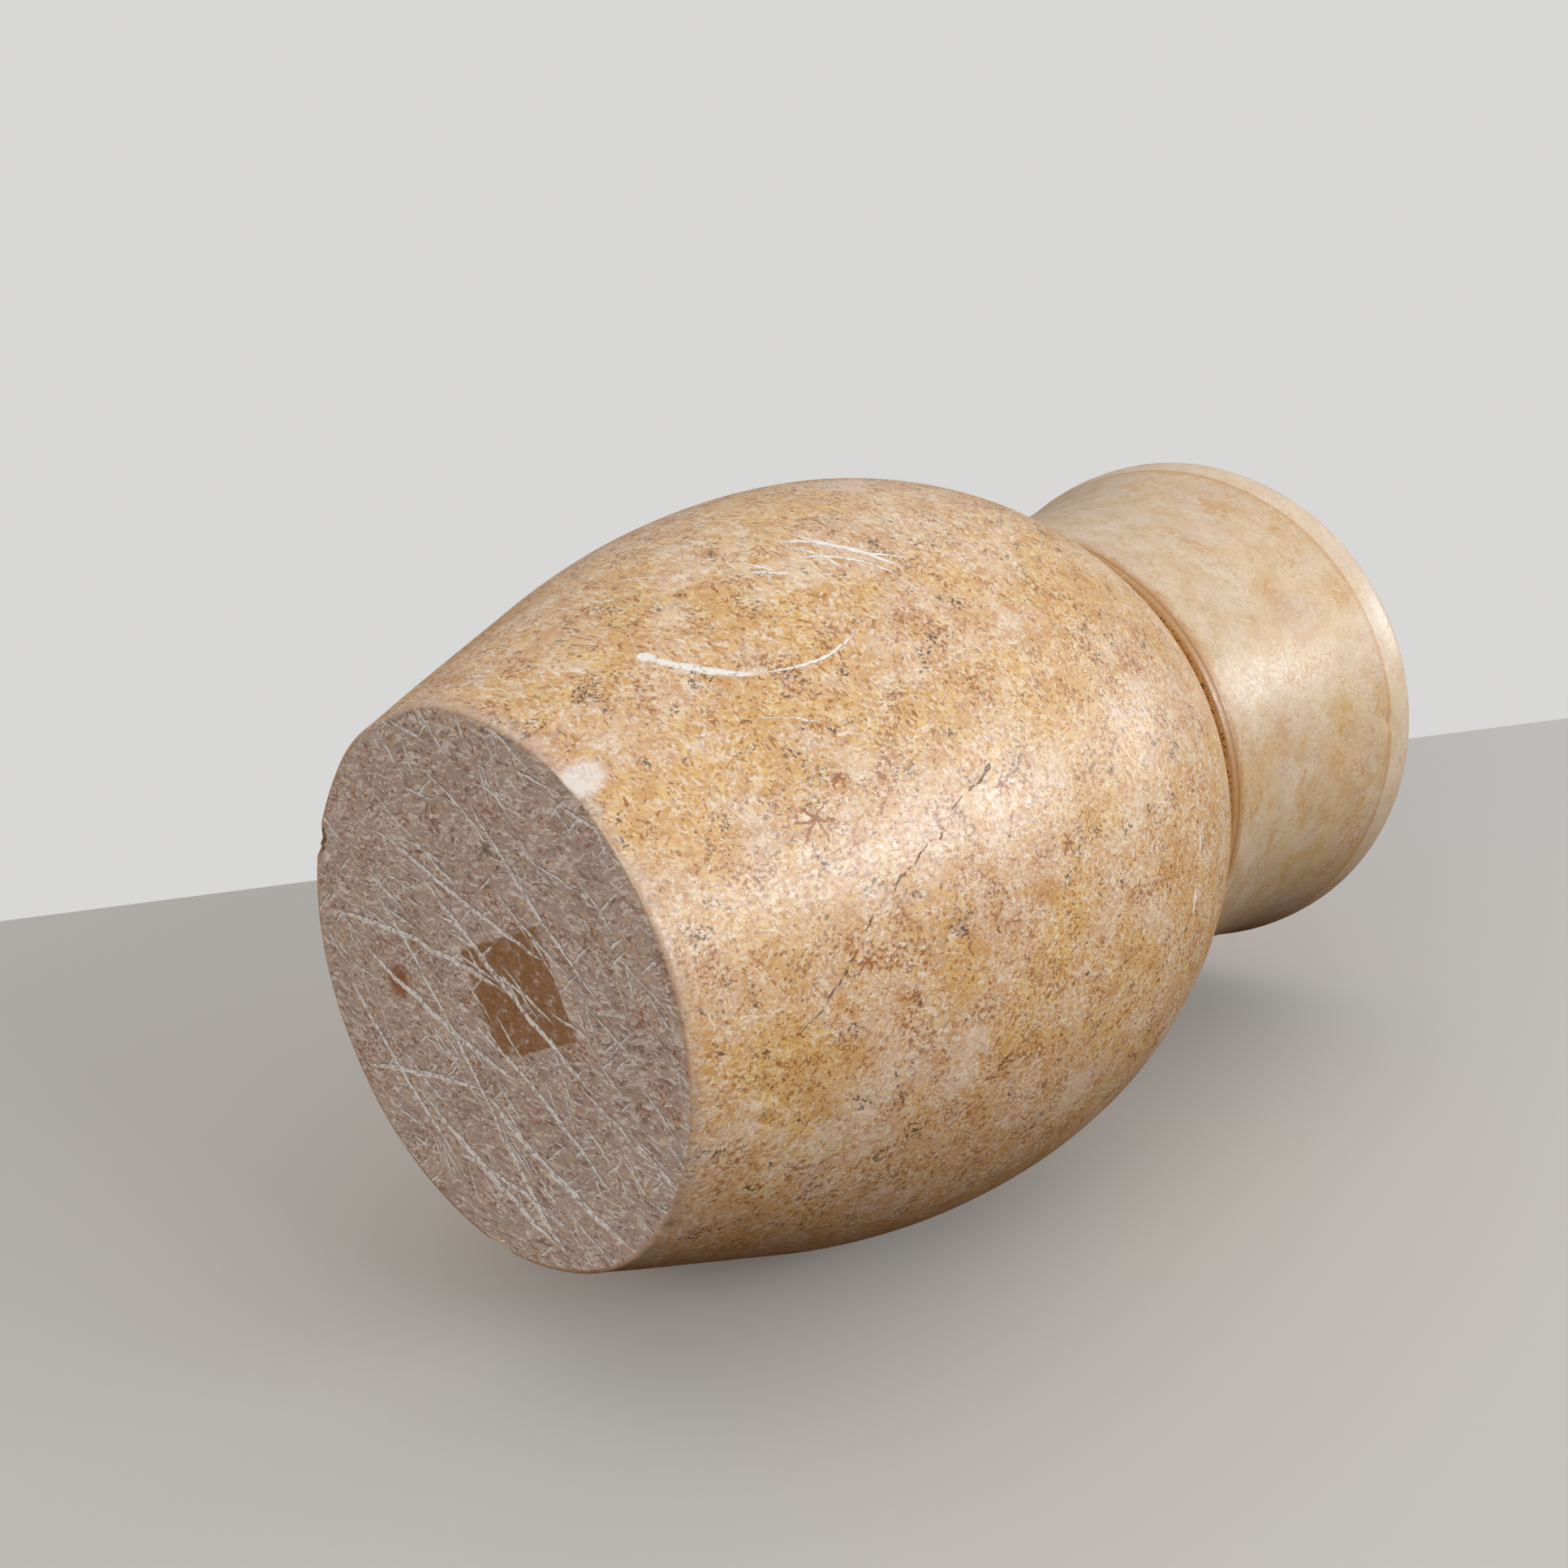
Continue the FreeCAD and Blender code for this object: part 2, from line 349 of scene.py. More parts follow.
def collar_outline():
    """From the bead, up the flared collar and over the lip."""
    bead_foot = BEAD_RADIUS - BEAD_SEAM
    bead_low = (bead_foot, NECK_HEIGHT + GROOVE_WIDTH)
    bead_high = (bead_foot, bead_low[1] + BEAD_WIDTH)
    bead = [
        (bead_foot + BEAD_SEAM * math.sin(math.pi * i / 5), bead_low[1] + BEAD_WIDTH * i / 5)
        for i in range(5)
    ]
    rise = LIP_EDGE_HEIGHT - bead_high[1]
    collar = [
        (collar_radius(bead_high[1] + rise * i / 52), bead_high[1] + rise * i / 52)
        for i in range(52)
    ]
    lip_edge = (collar_radius(LIP_EDGE_HEIGHT), LIP_EDGE_HEIGHT)
    lip = (LIP_RADIUS, LIP_HEIGHT)
    lip_round = HEIGHT - LIP_HEIGHT
    lip_top = (LIP_RADIUS - lip_round, HEIGHT)
    mouth = (MOUTH_RADIUS + MOUTH_ROUND, HEIGHT)
    return (
        bead + [bead_high] + collar
        + arc_leaving(lip_edge, LIP_SLOPE, lip, 8)
        + arc_about((LIP_RADIUS - lip_round, LIP_HEIGHT), lip_round, 0, 90, 6)
        + line_points(lip_top, mouth, 4)
    )


def bore_outline():
    """From the top of the lip down the bore to the middle of its floor."""
    mouth = (MOUTH_RADIUS, HEIGHT - MOUTH_ROUND)
    throat = (THROAT_RADIUS, THROAT_HEIGHT)
    bowl_centre = (0.0, FLOOR_THICKNESS + BOWL_RADIUS)
    bowl_angle = tangent_angle(bowl_centre, BOWL_RADIUS, throat, -1)
    wall_foot = on_circle(bowl_centre, BOWL_RADIUS, bowl_angle)
    wall_direction = (throat[0] - wall_foot[0], throat[1] - wall_foot[1])
    flare = arc_leaving(throat, wall_direction, mouth, 22)
    return (
        arc_about((MOUTH_RADIUS + MOUTH_ROUND, HEIGHT - MOUTH_ROUND), MOUTH_ROUND, 90, 180, 6)
        + [mouth] + flare[:0:-1]
        + line_points(throat, wall_foot, 20)
        + arc_about(bowl_centre, BOWL_RADIUS, bowl_angle, -90, 18)
        + [(0.0, FLOOR_THICKNESS)]
    )


def pestle_outline():
    """From the end of the round head, at height 0, to the top of the knob."""
    shoulder = (HEAD_RADIUS, HEAD_HEIGHT)
    waist = (WAIST_RADIUS, WAIST_HEIGHT)
    knob = (KNOB_RADIUS, KNOB_HEIGHT)
    shoulder_half = ((HEAD_RADIUS + WAIST_RADIUS) / 2, (shoulder[1] + waist[1]) / 2)
    knob_half = ((KNOB_RADIUS + WAIST_RADIUS) / 2, (knob[1] + waist[1]) / 2)
    dome_slope = math.radians(KNOB_DOME_DEGREES)
    round_centre = (KNOB_RADIUS - KNOB_ROUND, KNOB_HEIGHT)
    dome_centre = (0.0, KNOB_HEIGHT - round_centre[0] * math.tan(dome_slope))
    dome_radius = KNOB_ROUND + round_centre[0] / math.cos(dome_slope)
    return (
        arc_about((0.0, HEAD_RADIUS), HEAD_RADIUS, -90, 0, 24)
        + line_points((HEAD_RADIUS, HEAD_RADIUS), shoulder, 12)
        + arc_leaving(shoulder, (0, 1), shoulder_half, 24)
        + [shoulder_half] + arc_leaving(waist, (0, -1), shoulder_half, 24)[:0:-1]
        + arc_leaving(waist, (0, 1), knob_half, 22)
        + [knob_half] + arc_leaving(knob, (0, -1), knob_half, 22)[:0:-1]
        + arc_about(round_centre, KNOB_ROUND, 0, KNOB_DOME_DEGREES, 8)
        + arc_about(dome_centre, dome_radius, KNOB_DOME_DEGREES, 90, 10)
        + [(0.0, dome_centre[1] + dome_radius)]
    )


# ---------------------------------------------------------------- meshes

def lathe(name, outline, segments):
    """A closed mesh turned about Z from an outline that starts and ends on the axis."""
    inner = outline[1:-1]
    verts = [(0.0, 0.0, outline[0][1] * MM)]
    for radius, height in inner:
        for s in range(segments):
            turn = 2 * math.pi * s / segments
            verts.append((radius * math.cos(turn) * MM, radius * math.sin(turn) * MM, height * MM))
    verts.append((0.0, 0.0, outline[-1][1] * MM))
    faces = []
    for s in range(segments):
        after = (s + 1) % segments
        faces.append((0, 1 + after, 1 + s))
        for ring in range(len(inner) - 1):
            low = 1 + ring * segments
            high = low + segments
            faces.append((low + s, low + after, high + after, high + s))
        last = 1 + (len(inner) - 1) * segments
        faces.append((last + s, last + after, len(verts) - 1))
    mesh = bpy.data.meshes.new(name)
    mesh.from_pydata(verts, [], faces)
    mesh.validate()
    mesh.polygons.foreach_set("use_smooth", [True] * len(mesh.polygons))
    piece = bpy.data.objects.new(name, mesh)
    bpy.context.scene.collection.objects.link(piece)
    return piece


def soft(value, low, high):
    """A smooth step from 0 at low to 1 at high."""
    share = max(0.0, min(1.0, (value - low) / (high - low)))
    return share * share * (3 - 2 * share)


def chip_centres():
    """The chips' middles as points, with their widths and depths."""
    centres = []
    for (degrees, radius, height), width, depth in CHIPS:
        turn = math.radians(degrees)
        middle = Vector((radius * math.cos(turn), radius * math.sin(turn), height))
        centres.append((middle, width, depth))
    return centres


def chip_depth(place, centres):
    """How deep the chips cut at a point of the outside, in millimetres."""
    depth = 0.0
    for middle, width, deepest in centres:
        away = (place - middle).length / width
        if away < 1.0:
            rough = 0.75 + 0.5 * noise.noise(place * 0.9)
            depth = max(depth, deepest * (1.0 - away * away) * rough)
    return depth


def in_groove(place, radius):
    groove_top = NECK_HEIGHT + GROOVE_WIDTH
    return NECK_HEIGHT - 0.1 < place.z < groove_top + 0.1 and radius < NECK_RADIUS - 0.5


def shape_outside(mesh, bore_first):
    """Makes the turned shell uneven by hand: a wobbly ground base, chips and a rough groove."""
    centres = chip_centres()
    for vertex in mesh.vertices:
        place = vertex.co / MM
        radius = math.hypot(place.x, place.y)
        ring = (vertex.index - 1) // MORTAR_SIDES + 1
        if radius < 0.01 or ring >= bore_first:
            continue
        out = Vector((place.x, place.y, 0.0)) / radius
        change = SURFACE_WOBBLE * (noise.noise(place * 0.05) - 0.5)
        near_base = 1.0 - soft(place.z, 0.0, BASE_WOBBLE_HEIGHT)
        facets = noise.noise(out * 2.2 + Vector((0.0, 0.0, 4.0)))
        change += near_base * radius / BASE_RADIUS * (0.45 * facets - 0.15)
        if in_groove(place, radius):
            change += GROOVE_ROUGHNESS * noise.noise(place * 0.8)
        cut = chip_depth(place, centres)
        rise = 0.0
        if place.z < 0.1:
            rise = max(0.0, 0.10 + 0.16 * noise.noise(place * 0.09)) + cut
        elif place.z > HEIGHT - 0.1:
            rise = -0.1 - 0.1 * noise.noise(place * 0.06) - cut
        else:
            change -= cut
        vertex.co = (place + out * change + Vector((0.0, 0.0, rise))) * MM


def paint_bands(mesh, segments, bands):
    """Gives each band of rings its material; a band is its first ring and its material."""
    slots = np.zeros((segments, len(mesh.polygons) // segments), np.int32)
    for index, (first_ring, material) in enumerate(bands):
        mesh.materials.append(material)
        slots[:, first_ring:] = index
    mesh.polygons.foreach_set("material_index", slots.ravel())


def make_mortar():
    base = base_outline()
    belly = belly_outline()
    groove = groove_outline()
    collar = collar_outline()
    outline = base + belly + groove + collar + bore_outline()
    polish = polished_stone()
    piece = lathe("mortar_shell", outline, MORTAR_SIDES)
    belly_ring = len(base)
    groove_ring = belly_ring + len(belly)
    collar_ring = groove_ring + len(groove)
    bore_ring = collar_ring + len(collar)
    paint_bands(piece.data, MORTAR_SIDES, [
        (0, ground_base()),
        (belly_ring, polish),
        (groove_ring, groove_stone()),
        (collar_ring, polish),
        (bore_ring, bore_stone()),
    ])
    shape_outside(piece.data, bore_ring)
    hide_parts("mortar")
    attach(piece, "mortar")


def pestle_place():
    """The matrix that stands the pestle in the bore, leaning on the lip."""
    heading = math.radians(LEAN_TOWARDS_DEGREES)
    offset = math.radians(HEAD_OFFSET_DEGREES)
    reach = BOWL_RADIUS - HEAD_RADIUS - CLEARANCE
    outward = -reach * math.sin(offset)
    head_centre = Vector((
        outward * math.cos(heading),
        outward * math.sin(heading),
        FLOOR_THICKNESS + BOWL_RADIUS - reach * math.cos(offset),
    ))
    lean_axis = Vector((-math.sin(heading), math.cos(heading), 0.0))
    lean = Matrix.Rotation(math.radians(LEAN_DEGREES), 4, lean_axis)
    return Matrix.Translation(head_centre * MM) @ lean @ Matrix.Translation((0, 0, -HEAD_RADIUS * MM))


def make_pestle():
    piece = lathe("pestle_turned", pestle_outline(), PESTLE_SIDES)
    place = pestle_place()
    piece.data.transform(place)
    piece.data.materials.append(pestle_stone(place))
    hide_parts("pestle")
    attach(piece, "pestle")


# ---------------------------------------------------------------- camera, floors and light

def make_camera():
    forward = Vector(CAMERA_FORWARD).normalized()
    down = Vector(CAMERA_DOWN)
    right = down.cross(forward).normalized()
    up = right.cross(forward)
    turn = Matrix((right, up, -forward)).transposed().to_4x4()
    data = bpy.data.cameras.new("main_camera")
    data.lens = CAMERA_LENS
    data.sensor_width = CAMERA_SENSOR
    data.clip_start = 0.01
    data.clip_end = 50.0
    camera = bpy.data.objects.new("main_camera", data)
    camera.matrix_world = Matrix.Translation(Vector(CAMERA_PLACE) * MM) @ turn
    bpy.context.scene.collection.objects.link(camera)
    bpy.context.scene.camera = camera


def floor_material():
    material = bpy.data.materials.new("pale_floor")
    material.use_nodes = True
    tree = material.node_tree
    shader = tree.nodes["Principled BSDF"]
    shader.inputs["Base Color"].default_value = FLOOR_COLOUR
    shader.inputs["Roughness"].default_value = 0.75
    clear = tree.nodes.new("ShaderNodeBsdfTransparent")
    side = tree.nodes.new("ShaderNodeNewGeometry")
    mix = tree.nodes.new("ShaderNodeMixShader")
    tree.links.new(side.outputs["Backfacing"], mix.inputs[0])
    tree.links.new(shader.outputs[0], mix.inputs[1])
    tree.links.new(clear.outputs[0], mix.inputs[2])
    tree.links.new(mix.outputs[0], tree.nodes["Material Output"].inputs["Surface"])
    return material


def make_floor(name, corners, material):
    """A one-sided floor that takes shadows and neither blocks nor bounces light."""
    mesh = bpy.data.meshes.new(name)
    mesh.from_pydata([tuple(Vector(c) * MM) for c in corners], [], [(0, 1, 2, 3)])
    mesh.materials.append(material)
    floor = bpy.data.objects.new(name, mesh)
    floor.visible_diffuse = False
    floor.visible_glossy = False
    floor.visible_transmission = False
    floor.visible_shadow = False
    bpy.context.scene.collection.objects.link(floor)


def make_floors():
    """One floor under the mortar as it lies for the main camera, and one under it as it stands."""
    material = floor_material()
    heading = math.radians(FLOOR_BACK_HEADING)
    along = Vector((math.cos(heading), 0.0, math.sin(heading))) * LYING_REACH
    near = Vector((math.sin(heading), 0.0, -math.cos(heading))) * LYING_REACH
    back = Vector((FLOOR_BACK_PLACE[0], BELLY_RADIUS, FLOOR_BACK_PLACE[1]))
    make_floor(
        "lying_floor",
        [back - along, back - along + near, back + along + near, back + along],
        material,
    )
    make_floor(
        "standing_floor",
        [(-STAND_REACH, -STAND_REACH, 0), (STAND_REACH, -STAND_REACH, 0),
         (STAND_REACH, STAND_REACH, 0), (-STAND_REACH, STAND_REACH, 0)],
        material,
    )


def make_lamp(name, direction, distance, size, power, colour):
    data = bpy.data.lights.new(name, "AREA")
    data.shape = "RECTANGLE"
    data.size, data.size_y = size
    data.energy = power
    data.color = colour
    lamp = bpy.data.objects.new(name, data)
    back = Vector(direction).normalized()
    right = back.cross(Vector((0, 1, 0))).normalized()
    up = back.cross(right)
    place = Vector(LAMP_TARGET) + back * distance
    turn = Matrix((right, up, back)).transposed().to_4x4()
    lamp.matrix_world = Matrix.Translation(place) @ turn
    bpy.context.scene.collection.objects.link(lamp)


def make_world():
    """White walls towards -Y, which is up for the main camera, and a dark wooden table below."""
    world = bpy.data.worlds.new("room")
    bpy.context.scene.world = world
    world.use_nodes = True
    tree = world.node_tree
    place = tree.nodes.new("ShaderNodeTexCoord")
    up = tree.nodes.new("ShaderNodeVectorMath")
    up.operation = "DOT_PRODUCT"
    up.inputs[1].default_value = (0.0, -0.5, 0.0)
    height = tree.nodes.new("ShaderNodeMath")
    height.inputs[1].default_value = 0.5
    ramp = tree.nodes.new("ShaderNodeValToRGB")
    stops = ramp.color_ramp.elements
    stops.new(0.5)
    for stop, (position, colour) in zip(stops, ROOM_COLOURS):
        stop.position = position
        stop.color = (*colour, 1.0)
    path = tree.nodes.new("ShaderNodeLightPath")
    seen = tree.nodes.new("ShaderNodeMix")
    seen.data_type = "RGBA"
    factor, lit_colour, seen_colour = [s for s in seen.inputs if s.enabled]
    seen_colour.default_value = WALL_COLOUR
    result = [s for s in seen.outputs if s.enabled][0]
    tree.links.new(place.outputs["Generated"], up.inputs[0])
    tree.links.new(up.outputs["Value"], height.inputs[0])
    tree.links.new(height.outputs[0], ramp.inputs[0])
    tree.links.new(path.outputs["Is Camera Ray"], factor)
    tree.links.new(ramp.outputs["Color"], lit_colour)
    tree.links.new(result, tree.nodes["Background"].inputs["Color"])


def make_lamps():
    for lamp in LAMPS:
        make_lamp(*lamp)


# ---------------------------------------------------------------- material nodes

class Nodes:
    """Short calls that add a node to a material and return the socket that it gives."""

    def __init__(self, name):
        self.material = bpy.data.materials.new(name)
        self.material.use_nodes = True
        self.tree = self.material.node_tree
        self.shader = self.tree.nodes["Principled BSDF"]

    def put(self, socket, value):
        """Links value into a socket, or sets it there when it is a plain number or vector."""
        if isinstance(value, bpy.types.NodeSocket):
            self.tree.links.new(value, socket)
        else:
            socket.default_value = value

    def math(self, operation, *values):
        node = self.tree.nodes.new("ShaderNodeMath")
        node.operation = operation
        for socket, value in zip(node.inputs, values):
            self.put(socket, value)
        return node.outputs[0]

    def vector(self, operation, a, b):
        node = self.tree.nodes.new("ShaderNodeVectorMath")
        node.operation = operation
        self.put(node.inputs[0], a)
        if operation == "SCALE":
            self.put(node.inputs["Scale"], b)
        else:
            self.put(node.inputs[1], b)
        return node.outputs[0]

    def length(self, vector):
        node = self.tree.nodes.new("ShaderNodeVectorMath")
        node.operation = "LENGTH"
        self.put(node.inputs[0], vector)
        return node.outputs["Value"]

    def steps(self, value, low, high, to_low=0.0, to_high=1.0):
        """A smooth step of value from low to high; low may be the larger of the two."""
        node = self.tree.nodes.new("ShaderNodeMapRange")
        node.interpolation_type = "SMOOTHSTEP"
        self.put(node.inputs["Value"], value)
        self.put(node.inputs["From Min"], low)
        self.put(node.inputs["From Max"], high)
        self.put(node.inputs["To Min"], to_low)
        self.put(node.inputs["To Max"], to_high)
        return node.outputs["Result"]

    def mapped(self, vector, turn=(0, 0, 0), scale=(1, 1, 1), place=(0, 0, 0)):
        node = self.tree.nodes.new("ShaderNodeMapping")
        node.inputs["Rotation"].default_value = [math.radians(a) for a in turn]
        node.inputs["Scale"].default_value = scale
        node.inputs["Location"].default_value = place
        self.put(node.inputs["Vector"], vector)
        return node.outputs[0]

    def noise(self, vector, scale, detail=2.0, roughness=0.5, colour=False):
        node = self.tree.nodes.new("ShaderNodeTexNoise")
        node.inputs["Scale"].default_value = scale
        node.inputs["Detail"].default_value = detail
        node.inputs["Roughness"].default_value = roughness
        self.put(node.inputs["Vector"], vector)
        return node.outputs["Color" if colour else "Fac"]

    def cells(self, vector, scale, output="Color", dimensions="3D"):
        node = self.tree.nodes.new("ShaderNodeTexVoronoi")
        node.voronoi_dimensions = dimensions
        node.inputs["Scale"].default_value = scale
        self.put(node.inputs["Vector"], vector)
        return node.outputs[output]

    def mix(self, factor, a, b, blend="MIX"):
        node = self.tree.nodes.new("ShaderNodeMix")
        node.data_type = "RGBA"
        node.blend_type = blend
        sockets = [s for s in node.inputs if s.enabled]
        self.put(sockets[0], factor)
        self.put(sockets[1], a)
        self.put(sockets[2], b)
        return [s for s in node.outputs if s.enabled][0]

    def ramp(self, factor, stops):
        """A colour ramp through (position, colour) stops."""
        node = self.tree.nodes.new("ShaderNodeValToRGB")
        elements = node.color_ramp.elements
        while len(elements) < len(stops):
            elements.new(0.5)
        for element, (position, colour) in zip(elements, stops):
            element.position = position
            element.color = (*colour, 1.0)
        self.put(node.inputs[0], factor)
        return node.outputs["Color"]

    def along(self, vector, axis, origin=None):
        """How far a vector reaches along an axis, from an origin."""
        node = self.tree.nodes.new("ShaderNodeVectorMath")
        node.operation = "DOT_PRODUCT"
        self.put(node.inputs[0], vector)
        node.inputs[1].default_value = axis
        if origin is None:
            return node.outputs["Value"]
        return self.math("SUBTRACT", node.outputs["Value"], Vector(origin).dot(Vector(axis)))

    def part(self, vector, axis):
        """One coordinate. Separate XYZ would do, but Cycles runs out of room with many of them."""
        return self.along(vector, {"X": (1, 0, 0), "Y": (0, 1, 0), "Z": (0, 0, 1)}[axis])

    def joined(self, x, y, z=0.0):
        node = self.tree.nodes.new("ShaderNodeCombineXYZ")
        for socket, value in zip(node.inputs, (x, y, z)):
            self.put(socket, value)
        return node.outputs[0]

    def bump(self, height, distance):
        node = self.tree.nodes.new("ShaderNodeBump")
        node.inputs["Distance"].default_value = distance
        self.put(node.inputs["Height"], height)
        return node.outputs["Normal"]

    def place_mm(self):
        """The point in the row frame, in millimetres."""
        node = self.tree.nodes.new("ShaderNodeTexCoord")
        return self.vector("SCALE", node.outputs["Object"], 1 / MM)


# ---------------------------------------------------------------- stone

def unrolled(place):
    """Where a (degrees, height) place lies on the flat drawing of the outside."""
    return (math.radians(place[0]) * UNROLLED_RADIUS, place[1])


def flakes(nodes, place, turn, size):
    """A random value for each short flake, four times as long as it is wide."""
    drawn = nodes.mapped(place, turn=turn, scale=(0.26, 1.0, 0.8))
    return nodes.part(nodes.cells(drawn, 1.0 / size), "X")


def swirled(nodes, place, size, amount):
    """The place moved about by soft noise, so that what is drawn there bends."""
    push = nodes.vector("SUBTRACT", nodes.noise(place, 1.0 / size, colour=True), (0.5, 0.5, 0.5))
    return nodes.vector("ADD", place, nodes.vector("SCALE", push, amount))


def flake_colours(nodes, place, stops):
    """Short flakes lying two ways, with bent ends."""
    bent = swirled(nodes, swirled(nodes, place, 14.0, 9.0), 1.1, 0.8)
    one = nodes.ramp(flakes(nodes, bent, (20, 35, 60), 0.50), stops)
    other = nodes.ramp(flakes(nodes, bent, (70, -40, -25), 0.40), stops)
    share = nodes.steps(nodes.noise(place, 0.9, 2.0), 0.46, 0.54)
    return nodes.mix(share, one, other)


def cloud_colours(nodes, place):
    """Large soft clouds of cream, yellow and pink: their colour, and where yellow and pink are."""
    yellow = nodes.steps(nodes.noise(place, 0.05, 5.0, 0.62), 0.44, 0.60)
    moved = nodes.mapped(place, place=(90, 20, 50))
    pink = nodes.steps(nodes.noise(moved, 0.06, 5.0, 0.62), 0.46, 0.62)
    clouds = nodes.mix(yellow, (*CREAM, 1), (*YELLOW, 1))
    return nodes.mix(nodes.math("MULTIPLY", pink, 0.85), clouds, (*PINK, 1)), yellow, pink


def speck_mask(nodes, place, spot, size, seed, rarity):
    """Small grains gathered in spots: 1 on a grain."""
    moved = nodes.mapped(place, place=(seed, -seed, seed / 2))
    near = nodes.steps(nodes.noise(moved, 1.0 / spot, 2.0), rarity, rarity + 0.06)
    grain = nodes.steps(nodes.noise(moved, 1.0 / size, 3.0, 0.7), 0.52, 0.58)
    return nodes.math("MULTIPLY", near, grain)


def streak_mask(nodes, place, size, low):
    """Thin wriggling threads, five times as long as they are wide."""
    drawn = nodes.mapped(swirled(nodes, place, 5.0, 4.0), turn=(10, 25, 40), scale=(0.2, 1.0, 1.0))
    return nodes.steps(nodes.noise(drawn, 1.0 / size, 2.0, 0.6), low, low + 0.07)


def stroke(nodes, flat, start, end, width, bend):
    """1 on a bent line with thin ends, drawn on a flat place."""
    start = Vector((*start, 0.0))
    end = Vector((*end, 0.0))
    middle = (start + end) / 2
    ahead = (end - start).normalized()
    left = Vector((-ahead.y, ahead.x, 0.0))
    along = nodes.along(flat, ahead / ((end - start).length / 2), middle)
    squared = nodes.math("MULTIPLY", along, along)
    bow = nodes.math("MULTIPLY_ADD", squared, -bend / width, bend / width)
    aside = nodes.math("SUBTRACT", nodes.along(flat, left / width, middle), bow)
    reach = nodes.math("MULTIPLY_ADD", aside, aside, nodes.math("MULTIPLY", squared, squared))
    return nodes.steps(reach, 1.0, 0.25)


def strokes(nodes, flat, lines):
    """The largest of several strokes."""
    total = None
    for start, end, width, bend in lines:
        mask = stroke(nodes, flat, start, end, width, bend)
        total = mask if total is None else nodes.math("MAXIMUM", total, mask)
    return total


def random_scratches(nodes, flat, degrees, length, width, keep, seed):
    """Thin tapered scratches that lie about one way; keep is the share of cells that have one."""
    drawn = nodes.mapped(
        nodes.mapped(flat, turn=(0, 0, degrees), place=(seed, seed * 0.7, seed)),
        scale=(1.0 / length, 1.0 / width, 1.0),
    )
    shape = nodes.steps(nodes.cells(drawn, 1.0, "Distance", "2D"), 0.42, 0.18)
    picked = nodes.part(nodes.cells(drawn, 1.0, "Color", "2D"), "Y")
    kept = nodes.steps(picked, 1.0 - keep, 1.02 - keep)
    return nodes.math("MULTIPLY", shape, kept)


def flat_outside(nodes, place):
    """The outside of the mortar unrolled flat: x round the axis, y up it."""
    turn = nodes.math("ARCTAN2", nodes.part(place, "Y"), nodes.part(place, "X"))
    return nodes.joined(nodes.math("MULTIPLY", turn, UNROLLED_RADIUS), nodes.part(place, "Z"))


def placed(lines):
    return [(unrolled(start), unrolled(end), width, bend) for start, end, width, bend in lines]


def star_strokes(stars):
    """Three short crossing strokes for each star."""
    lines = []
    for place, size in stars:
        x, y = unrolled(place)
        for degrees in (15, 70, 130):
            turn = math.radians(degrees)
            reach = (size * math.cos(turn), size * math.sin(turn))
            lines.append(((x - reach[0], y - reach[1]), (x + reach[0], y + reach[1]), 0.26, 0.30))
    return lines


def tinted(nodes, colour, mask, share, tint):
    """The colour moved towards a tint by share of a mask."""
    return nodes.mix(nodes.math("MULTIPLY", mask, share), colour, (*tint, 1))


def stone_colour(nodes, place):
    """The flecked stone, and the soft clouds under its flecks."""
    clouds, yellow, pink = cloud_colours(nodes, place)
    colour = nodes.mix(0.92, clouds, flake_colours(nodes, place, BELLY_FLAKES))
    colour = tinted(nodes, colour, yellow, 0.28, STRONG_YELLOW)
    colour = tinted(nodes, colour, pink, 0.28, GREY_PINK)
    patches = nodes.noise(place, 0.10, 6.0, 0.72)
    brown = nodes.steps(patches, 0.49, 0.62)
    pale = nodes.steps(patches, 0.48, 0.37)
    mottle = nodes.steps(nodes.noise(place, 0.28, 5.0, 0.72), 0.50, 0.66)
    colour = tinted(nodes, colour, brown, 0.45, PATCH_BROWN)
    colour = tinted(nodes, colour, pale, 0.38, PATCH_PALE)
    colour = tinted(nodes, colour, mottle, 0.60, OCHRE)
    threads = nodes.math("MULTIPLY", streak_mask(nodes, place, 0.60, 0.58),
                         nodes.steps(patches, 0.60, 0.42, 0.35, 0.85))
    colour = tinted(nodes, colour, threads, 1.0, PALE)
    moved = nodes.mapped(place, place=(33, 71, 15))
    threads = nodes.math("MULTIPLY", streak_mask(nodes, moved, 0.55, 0.59),
                         nodes.steps(patches, 0.38, 0.58, 0.30, 0.95))
    colour = tinted(nodes, colour, threads, 1.0, RUST)
    colour = tinted(nodes, colour, speck_mask(nodes, place, 6.0, 0.7, 77.0, 0.55), 0.80, RUST)
    colour = tinted(nodes, colour, speck_mask(nodes, place, 4.0, 0.6, 31.0, 0.60), 0.85, DARK)
    return colour, clouds


